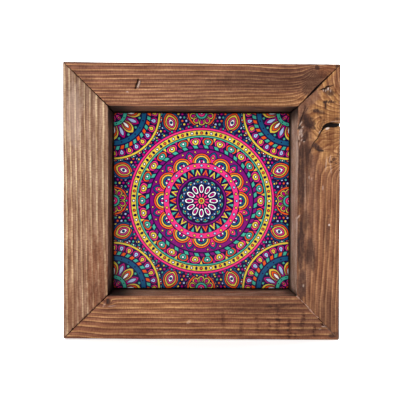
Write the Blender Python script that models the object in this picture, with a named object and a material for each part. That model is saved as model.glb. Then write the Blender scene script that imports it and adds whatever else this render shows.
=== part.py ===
"""A glazed ceramic tile set back in a deep frame of four mitred pine battens.

Lengths are in metres. X runs to the right across the front, Y from the front to the
back, and Z up. The origin is at the middle of the underside.
"""

from math import pi

import bmesh
import bpy
from mathutils import Matrix, Vector

# The tile, with the joint left open all round it.
TILE_SIDE = 0.1524
TILE_THICKNESS = 0.006
TILE_CORNER_RADIUS = 0.0022
TILE_ARRIS_RADIUS = 0.0009
TILE_JOINT = 0.00125

# The battens. Hand planing left each face a little wider or narrower than the next.
LEFT_RAIL_FACE = 0.0376
RIGHT_RAIL_FACE = 0.0355
TOP_RAIL_FACE = 0.0365
BOTTOM_RAIL_FACE = 0.0368
RAIL_DEPTH = 0.0350
RAIL_ARRIS_RADIUS = 0.0010

# The hairline between two battens at a mitre.
MITRE_GAP = 0.0003

# The board that carries the tile, let into the back of the battens.
BOARD_THICKNESS = 0.003
BOARD_LAP = 0.006
BOARD_SIDE_CLEARANCE = 0.0004
BOARD_INSET = 0.0003
GLUE_LINE = 0.0003

# The blind hole in the back of the top batten, for a nail or a screw in the wall.
HANGING_HOLE_DIAMETER = 0.010
HANGING_HOLE_DEPTH = 0.012

# The drying crack that opens the outer edge of the right batten beside its big knot.
CRACK_BELOW_TOP = 0.0513
CRACK_LENGTH = 0.0125
CRACK_MOUTH_HEIGHT = 0.0042
CRACK_MOUTH_DEPTH = 0.0060

# The flake torn out of the same knot at the inner edge.
FLAKE_BELOW_TOP = 0.0590
FLAKE_LENGTH = 0.0160
FLAKE_WIDTH = 0.0040
FLAKE_DEPTH = 0.0012

# How far a cutting tool runs past the face that it enters.
CUTTER_OVERRUN = 0.002

# How finely round shapes are cut into flats.
ARRIS_STEPS = 3
TILE_CORNER_STEPS = 6
HOLE_SIDES = 32
CRACK_SIDES = 12
FLAKE_SIDES = 16
FLAKE_RINGS = 10

# The cosine above which an edge counts as running along an axis.
PARALLEL = 0.999

opening_side = TILE_SIDE + 2 * TILE_JOINT
outer_width = LEFT_RAIL_FACE + opening_side + RIGHT_RAIL_FACE
outer_height = BOTTOM_RAIL_FACE + opening_side + TOP_RAIL_FACE

outer_left = -outer_width / 2
outer_right = outer_width / 2
outer_bottom = 0.0
outer_top = outer_height
inner_left = outer_left + LEFT_RAIL_FACE
inner_right = outer_right - RIGHT_RAIL_FACE
inner_bottom = outer_bottom + BOTTOM_RAIL_FACE
inner_top = outer_top - TOP_RAIL_FACE
opening_centre_x = (inner_left + inner_right) / 2
opening_centre_z = (inner_bottom + inner_top) / 2

front = -RAIL_DEPTH / 2
back = RAIL_DEPTH / 2
board_back = back - BOARD_INSET
board_front = board_back - BOARD_THICKNESS
rabbet_floor = board_front - GLUE_LINE
tile_back = board_front - GLUE_LINE
tile_front = tile_back - TILE_THICKNESS


def clear_scene():
    for existing in list(bpy.data.objects):
        bpy.data.objects.remove(existing, do_unlink=True)


def new_collection(name):
    collection = bpy.data.collections.new(name)
    bpy.context.scene.collection.children.link(collection)
    return collection


def new_material(name, colour, roughness):
    material = bpy.data.materials.new(name)
    material.use_nodes = True
    shader = material.node_tree.nodes["Principled BSDF"]
    shader.inputs["Base Color"].default_value = (*colour, 1.0)
    shader.inputs["Roughness"].default_value = roughness
    shader.inputs["Metallic"].default_value = 0.0
    return material


def new_object(name, mesh_builder, collection, material=None):
    """Turn a finished bmesh into a named object."""
    bmesh.ops.recalc_face_normals(mesh_builder, faces=mesh_builder.faces)
    mesh = bpy.data.meshes.new(name)
    mesh_builder.to_mesh(mesh)
    mesh_builder.free()
    made = bpy.data.objects.new(name, mesh)
    collection.objects.link(made)
    if material is not None:
        mesh.materials.append(material)
    return made


def block(low, high):
    """A bmesh cube stretched to fill the box between two corners."""
    low, high = Vector(low), Vector(high)
    mesh_builder = bmesh.new()
    bmesh.ops.create_cube(mesh_builder, size=1.0)
    bmesh.ops.scale(mesh_builder, vec=high - low, verts=mesh_builder.verts)
    bmesh.ops.translate(mesh_builder, vec=(low + high) / 2, verts=mesh_builder.verts)
    return mesh_builder


def edges_along(mesh_builder, axis):
    """The straight edges that run along one axis, 0 for X, 1 for Y and 2 for Z."""
    found = []
    for edge in mesh_builder.edges:
        direction = (edge.verts[1].co - edge.verts[0].co).normalized()
        if abs(direction[axis]) > PARALLEL:
            found.append(edge)
    return found


def round_edges(mesh_builder, edges, radius, segments):
    bmesh.ops.bevel(
        mesh_builder, geom=edges, offset=radius, offset_type="OFFSET", segments=segments,
        profile=0.5, affect="EDGES", clamp_overlap=True,
    )


def saw(mesh_builder, point, normal):
    """Cut away what lies beyond a plane and close the end."""
    geometry = mesh_builder.verts[:] + mesh_builder.edges[:] + mesh_builder.faces[:]
    cut = bmesh.ops.bisect_plane(
        mesh_builder, geom=geometry, plane_co=point, plane_no=normal, clear_outer=True,
    )
    rim = [piece for piece in cut["geom_cut"] if isinstance(piece, bmesh.types.BMEdge)]
    bmesh.ops.edgeloop_fill(mesh_builder, edges=rim)


def mitred_batten(name, low, high, along, mitres, collection, material):
    """A batten with eased long arrises, sawn at both ends.

    Each mitre is its inner and its outer corner. The batten gives up half the joint.
    """
    mesh_builder = block(low, high)
    round_edges(mesh_builder, edges_along(mesh_builder, along), RAIL_ARRIS_RADIUS, ARRIS_STEPS)
    middle = (Vector(low) + Vector(high)) / 2
    for inner_corner, outer_corner in mitres:
        run = Vector(outer_corner) - Vector(inner_corner)
        normal = run.cross(Vector((0, 1, 0))).normalized()
        if normal.dot(middle - Vector(inner_corner)) > 0:
            normal.negate()
        saw(mesh_builder, Vector(inner_corner) - normal * MITRE_GAP / 2, normal)
    return new_object(name, mesh_builder, collection, material)


def as_cutter(cutter):
    cutter.hide_render = True
    cutter.display_type = "WIRE"
    return cutter


def cut_with(target, cutter):
    boolean = target.modifiers.new(cutter.name, "BOOLEAN")
    boolean.operation = "DIFFERENCE"
    boolean.solver = "EXACT"
    boolean.object = cutter


def make_rails(collection):
    """The four battens, each with its own tone of stain."""
    top_left = ((inner_left, 0, inner_top), (outer_left, 0, outer_top))
    top_right = ((inner_right, 0, inner_top), (outer_right, 0, outer_top))
    bottom_left = ((inner_left, 0, inner_bottom), (outer_left, 0, outer_bottom))
    bottom_right = ((inner_right, 0, inner_bottom), (outer_right, 0, outer_bottom))
    top = mitred_batten(
        "top_rail", (outer_left, front, inner_top), (outer_right, back, outer_top), 0,
        (top_left, top_right), collection, new_material("pine_top", (0.254, 0.114, 0.063), 0.6),
    )
    bottom = mitred_batten(
        "bottom_rail", (outer_left, front, outer_bottom), (outer_right, back, inner_bottom), 0,
        (bottom_left, bottom_right), collection,
        new_material("pine_bottom", (0.258, 0.115, 0.057), 0.6),
    )
    left = mitred_batten(
        "left_rail", (outer_left, front, outer_bottom), (inner_left, back, outer_top), 2,
        (top_left, bottom_left), collection, new_material("pine_left", (0.386, 0.215, 0.136), 0.6),
    )
    right = mitred_batten(
        "right_rail", (inner_right, front, outer_bottom), (outer_right, back, outer_top), 2,
        (top_right, bottom_right), collection,
        new_material("pine_right", (0.254, 0.120, 0.067), 0.6),
    )
    return top, bottom, left, right


def make_tile(collection):
    """The biscuit with its glazed face: rounded corners and a softened front edge."""
    half = TILE_SIDE / 2
    mesh_builder = block(
        (opening_centre_x - half, tile_front, opening_centre_z - half),
        (opening_centre_x + half, tile_back, opening_centre_z + half),
    )
    round_edges(mesh_builder, edges_along(mesh_builder, 1), TILE_CORNER_RADIUS, TILE_CORNER_STEPS)
    face_middle = tile_front + TILE_THICKNESS / 2
    front_rim = []
    for edge in mesh_builder.edges:
        if all(vertex.co.y < face_middle for vertex in edge.verts):
            front_rim.append(edge)
    round_edges(mesh_builder, front_rim, TILE_ARRIS_RADIUS, ARRIS_STEPS)
    glaze = new_material("glazed_tile", (0.202, 0.086, 0.114), 0.12)
    return new_object("tile", mesh_builder, collection, glaze)


def make_backing_board(collection):
    reach = BOARD_LAP - BOARD_SIDE_CLEARANCE
    mesh_builder = block(
        (inner_left - reach, board_front, inner_bottom - reach),
        (inner_right + reach, board_back, inner_top + reach),
    )
    hardboard = new_material("hardboard", (0.030, 0.017, 0.013), 0.75)
    return new_object("backing_board", mesh_builder, collection, hardboard)


def rabbet_cutter(collection):
    """The step at the back of the battens that the board lies in."""
    mesh_builder = block(
        (inner_left - BOARD_LAP, rabbet_floor, inner_bottom - BOARD_LAP),
        (inner_right + BOARD_LAP, back + CUTTER_OVERRUN, inner_top + BOARD_LAP),
    )
    return as_cutter(new_object("rabbet_cutter", mesh_builder, collection))


def hanging_hole_cutter(collection):
    """A blind hole in the middle of the flat land left above the rabbet."""
    land_middle = (inner_top + BOARD_LAP + outer_top) / 2
    length = HANGING_HOLE_DEPTH + CUTTER_OVERRUN
    middle = Vector((0, back + CUTTER_OVERRUN - length / 2, land_middle))
    mesh_builder = bmesh.new()
    bmesh.ops.create_cone(
        mesh_builder, cap_ends=True, segments=HOLE_SIDES, radius1=HANGING_HOLE_DIAMETER / 2,
        radius2=HANGING_HOLE_DIAMETER / 2, depth=length,
        matrix=Matrix.Translation(middle) @ Matrix.Rotation(pi / 2, 4, "X"),
    )
    return as_cutter(new_object("hanging_hole_cutter", mesh_builder, collection))


def crack_cutter(collection):
    """A wedge with its mouth at the outer front edge and its tip inside the face."""
    growth = (CRACK_LENGTH + CUTTER_OVERRUN) / CRACK_LENGTH
    mesh_builder = bmesh.new()
    bmesh.ops.create_cone(
        mesh_builder, cap_ends=True, segments=CRACK_SIDES, radius1=1.0, radius2=0.0, depth=1.0,
        matrix=Matrix.Rotation(-pi / 2, 4, "Y"),
    )
    reach = (CRACK_LENGTH * growth, CRACK_MOUTH_DEPTH * growth, CRACK_MOUTH_HEIGHT / 2 * growth)
    bmesh.ops.scale(mesh_builder, vec=reach, verts=mesh_builder.verts)
    middle_x = outer_right + CUTTER_OVERRUN - reach[0] / 2
    place = Vector((middle_x, front, outer_top - CRACK_BELOW_TOP))
    bmesh.ops.translate(mesh_builder, vec=place, verts=mesh_builder.verts)
    return as_cutter(new_object("crack_cutter", mesh_builder, collection))


def flake_cutter(collection):
    """A flat egg whose near half lifts a flake out of the inner front edge."""
    mesh_builder = bmesh.new()
    bmesh.ops.create_uvsphere(
        mesh_builder, u_segments=FLAKE_SIDES, v_segments=FLAKE_RINGS, radius=1.0,
    )
    reach = (FLAKE_WIDTH, FLAKE_DEPTH, FLAKE_LENGTH / 2)
    bmesh.ops.scale(mesh_builder, vec=reach, verts=mesh_builder.verts)
    place = Vector((inner_right, front, outer_top - FLAKE_BELOW_TOP))
    bmesh.ops.translate(mesh_builder, vec=place, verts=mesh_builder.verts)
    return as_cutter(new_object("flake_cutter", mesh_builder, collection))


def main():
    clear_scene()
    parts = new_collection("framed_tile")
    cutters = new_collection("framed_tile_cutters")
    top, bottom, left, right = make_rails(parts)
    make_tile(parts)
    make_backing_board(parts)
    rabbet = rabbet_cutter(cutters)
    for rail in (top, bottom, left, right):
        cut_with(rail, rabbet)
    cut_with(top, hanging_hole_cutter(cutters))
    cut_with(right, crack_cutter(cutters))
    cut_with(right, flake_cutter(cutters))


main()
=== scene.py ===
"""The looks of a framed tile: four stained pine battens, a glazed printed tile, its board.

Shapes are worked out in millimetres in the frame's own axes: X to the right, Y from the
front to the back, Z up. They turn to metres when a mesh is made.
"""

from itertools import product
from math import pi, radians

import bmesh
import bpy
import numpy as np
from mathutils import Matrix, Vector
from mathutils.geometry import delaunay_2d_cdt


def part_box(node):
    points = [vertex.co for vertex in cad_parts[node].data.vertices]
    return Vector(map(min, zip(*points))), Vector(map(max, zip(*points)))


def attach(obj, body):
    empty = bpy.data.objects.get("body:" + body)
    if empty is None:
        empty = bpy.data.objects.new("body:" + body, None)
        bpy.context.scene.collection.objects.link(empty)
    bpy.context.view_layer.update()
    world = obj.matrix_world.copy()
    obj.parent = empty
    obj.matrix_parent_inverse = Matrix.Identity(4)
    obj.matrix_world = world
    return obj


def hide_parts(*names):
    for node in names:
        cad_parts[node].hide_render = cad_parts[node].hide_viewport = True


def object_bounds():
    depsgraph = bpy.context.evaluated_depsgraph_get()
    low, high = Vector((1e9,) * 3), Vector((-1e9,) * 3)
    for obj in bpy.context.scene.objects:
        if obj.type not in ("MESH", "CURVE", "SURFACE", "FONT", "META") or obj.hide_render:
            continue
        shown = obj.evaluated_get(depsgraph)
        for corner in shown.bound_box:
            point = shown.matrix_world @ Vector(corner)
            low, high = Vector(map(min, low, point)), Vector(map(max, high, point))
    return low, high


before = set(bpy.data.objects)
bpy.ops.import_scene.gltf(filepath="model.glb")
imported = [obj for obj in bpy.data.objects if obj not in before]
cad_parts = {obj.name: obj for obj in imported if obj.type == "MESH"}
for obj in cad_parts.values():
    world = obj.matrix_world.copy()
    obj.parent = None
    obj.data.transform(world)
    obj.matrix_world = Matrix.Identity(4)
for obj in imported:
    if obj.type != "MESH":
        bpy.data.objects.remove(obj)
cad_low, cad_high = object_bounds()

MM = 0.001


# Sizes read from the frame, in millimetres

def box_mm(node):
    low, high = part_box(node)
    return np.array(low) / MM, np.array(high) / MM


outer_low = np.array(cad_low) / MM
outer_high = np.array(cad_high) / MM
left_face = float(np.ptp(box_mm("left_rail"), axis=0)[0])
right_face = float(np.ptp(box_mm("right_rail"), axis=0)[0])
top_face = float(np.ptp(box_mm("top_rail"), axis=0)[2])
bottom_face = float(np.ptp(box_mm("bottom_rail"), axis=0)[2])
rail_depth = float(outer_high[1] - outer_low[1])
width = float(outer_high[0] - outer_low[0])
height = float(outer_high[2] - outer_low[2])
tile_low, tile_high = box_mm("tile")
board_low = box_mm("backing_board")[0]

MITRE_GAP = 0.3
RAIL_ARRIS = 1.0
BOARD_SIDE_CLEARANCE = 0.4
GLUE_LINE = 0.3
TILE_CORNER = 2.2
TILE_ARRIS = 0.9
HOLE_DIAMETER = 10.0
HOLE_DEPTH = 12.0
HOLE_SIDES = 40
HOLE_STAIN = 0.6
DRILL_OVERRUN = 1.0

board_lap = float(outer_low[0] + left_face - board_low[0]) + BOARD_SIDE_CLEARANCE
rabbet_floor = float(board_low[1] - GLUE_LINE - outer_low[1])


# Colour and nodes

def linear(hex_colour):
    """An sRGB hex colour as the linear values that a shader takes."""
    channels = [int(hex_colour[i:i + 2], 16) / 255 for i in (1, 3, 5)]
    return [c / 12.92 if c <= 0.04045 else ((c + 0.055) / 1.055) ** 2.4 for c in channels] + [1.0]


def add_node(tree, kind, options=None, inputs=None, stops=None):
    """Add a shader node, set its options, fill or link its inputs and set its colour stops."""
    node = tree.nodes.new("ShaderNode" + kind)
    for option, value in (options or {}).items():
        setattr(node, option, value)
    for socket, value in (inputs or {}).items():
        if isinstance(value, bpy.types.NodeSocket):
            tree.links.new(value, node.inputs[socket])
        else:
            node.inputs[socket].default_value = value
    for place, (position, colour) in enumerate(stops or ()):
        elements = node.color_ramp.elements
        element = elements[place] if place < 2 else elements.new(position)
        element.position = position
        element.color = linear(colour)
    return node


def new_material(name, roughness):
    material = bpy.data.materials.new(name)
    material.use_nodes = True
    shader = material.node_tree.nodes["Principled BSDF"]
    shader.inputs["Roughness"].default_value = roughness
    return material, material.node_tree, shader


# Noise

# Large odd numbers that scatter the corners of the cells.
SCATTER = (73856093, 19349663, 83492791)
SCATTER_SEED = 2654435761
SCATTER_AGAIN = 1274126177
SIXTEEN_BITS = 0xFFFF


def noise(points, cell, seed):
    """Smooth noise from -1 to 1, with one random value at each corner of a cell in mm."""
    scaled = points / np.array(cell, dtype=float)
    low = np.floor(scaled).astype(np.int64)
    part = scaled - low
    part = part * part * (3 - 2 * part)
    total = np.zeros(len(points))
    for corner in product((0, 1), repeat=3):
        key = low + corner
        mixed = key[:, 0] * SCATTER[0] ^ key[:, 1] * SCATTER[1] ^ key[:, 2] * SCATTER[2]
        mixed = mixed ^ seed * SCATTER_SEED
        mixed = (mixed ^ (mixed >> 13)) * SCATTER_AGAIN
        mixed = (mixed ^ (mixed >> 16)) & SIXTEEN_BITS
        weight = np.prod(np.where(corner, part, 1 - part), axis=1)
        total += weight * (mixed / (SIXTEEN_BITS / 2) - 1)
    return total


def smooth(low, high, value):
    """0 at low and before it, 1 at high and past it, with soft bends between."""
    part = np.clip((value - low) / (high - low), 0, 1)
    return part * part * (3 - 2 * part)


# The pine battens

# Each place on a batten is along it from its left or lower end, across its face from
# the outer edge, and deep behind its front. Marks are placed by x and z in the frame.
# rings says where the pale lines cross the face, from the outer edge, at some stations
# along it. tones are the stained early wood, the wood between and the pale late wood,
# and faded is how far the rings fade out in places. side is 1 where the dark follows a
# pale line on its inner side, or -1 on its outer. wall is the tone of its inner wall,
# its stain with painted light and shade: pale where the key light reaches the wall, dark
# where it misses it. rim is how dark the painted shade on its outer arris is. corners is
# how far a painted shadow spreads along its inner wall from its first and its last
# mitre, and how dark it is there. lean is how far the rings shift for each mm behind the
# front, neighbours are the faces that its two mitres meet, seed sets its noise, and
# close names the stretches along it that get a finer mesh.
RAILS = {
    "top_rail": {
        "slot": "pine_top", "face": top_face, "length": width, "seed": 11, "lean": 0.30, "side": 1,
        "neighbours": (left_face, right_face), "close": ((54, 66), (188, 225)),
        "tones": ("#6A4130", "#906149", "#CB9E6F"), "faded": 0.3, "wall": "#664A3E", "rim": 0.75,
        "corners": ((26, 0.88), (16, 0.8)),
        "rings": (
            (62, (2.4, 6.6, 10.8, 14.0, 17.3, 20.2, 23.0, 25.6, 28.8, 31.3, 34.0, 36.4)),
            (152, (2.2, 6.4, 10.3, 13.2, 16.2, 18.6, 21.4, 23.6, 26.7, 29.3, 32.2, 34.9)),
            (187, (4.8, 8.2, 12.1, 14.5, 16.9, 19.3, 21.8, 23.4, 26.6, 29.1, 32.3, 35.0)),
        ),
    },
    "bottom_rail": {
        "slot": "pine_bottom", "face": bottom_face, "length": width, "seed": 23, "lean": -0.35,
        "side": -1, "neighbours": (left_face, right_face), "close": ((28, 44), (205, 225)),
        "tones": ("#70432E", "#99674B", "#D1A46F"), "faded": 0.25, "wall": "#BF9C89", "rim": 0.5,
        "corners": ((32, 0.95), (12, 0.75)),
        "rings": (
            (14, (6.6, 12.0, 16.4, 20.2, 23.4, 27.0, 30.9, 34.4)),
            (34, (4.5, 10.2, 14.8, 18.5, 21.9, 26.0, 30.4, 33.8)),
            (92, (4.5, 9.8, 14.4, 18.4, 22.1, 26.6, 30.9, 34.2)),
        ),
    },
    "left_rail": {
        "slot": "pine_left", "face": left_face, "length": height, "seed": 37, "lean": 0.22, "side": 1,
        "neighbours": (bottom_face, top_face), "close": ((0, 40),),
        "tones": ("#8A6852", "#A88A73", "#DAC4A0"), "faded": 0.2, "wall": "#5C3A2E", "rim": 0.42,
        "corners": ((18, 0.85), (22, 0.9)),
        "rings": (
            (31, (3.6, 8.6, 12.6, 16.8, 20.8, 25.6, 30.6, 37.0)),
            (106, (3.6, 7.6, 11.7, 15.1, 19.0, 23.1, 28.1, 33.4)),
            (186, (1.8, 5.6, 10.4, 14.1, 17.9, 22.4, 27.8, 33.6)),
        ),
    },
    "right_rail": {
        "slot": "pine_right", "face": right_face, "length": height, "seed": 41, "lean": -0.28,
        "side": 1, "neighbours": (bottom_face, top_face),
        "close": ((0, 16), (50, 62), (92, 106), (138, 225)),
        "tones": ("#6B432B", "#906345", "#C3966A"), "faded": 0.5, "wall": "#CFB8AA", "rim": 0.85,
        "corners": ((5, 0.5), (14, 0.85)),
        "rings": (
            (29, (3.5, 6.4, 11.8, 15.9, 20.1, 24.1, 27.1, 29.8, 33.5)),
            (61, (1.7, 4.7, 9.5, 13.0, 17.3, 22.3, 27.1, 29.9, 33.5)),
            (106, (0.0, 3.1, 7.2, 11.2, 16.2, 21.1, 27.0, 29.6, 33.5)),
        ),
    },
}

# Knots. Each is a line of pith from x, z to x, z, how many rings wrap it, how far from
# it, in mm, their number falls off, and how much the batten's own rings fade near it.
KNOTS = {
    "top_rail": ((91.0, 204.0, 94.5, 215.0, 9.0, 5.2, 0.0),),
    "bottom_rail": ((-76.4, 30.9, -76.5, 32.3, 1.6, 1.5, 0.0),),
    "right_rail": (
        (124.0, 178.6, 99.0, 177.0, 8.0, 10.0, 0.92),
        (111.5, 149.4, 108.6, 148.6, 3.4, 4.6, 0.3),
    ),
}
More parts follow.
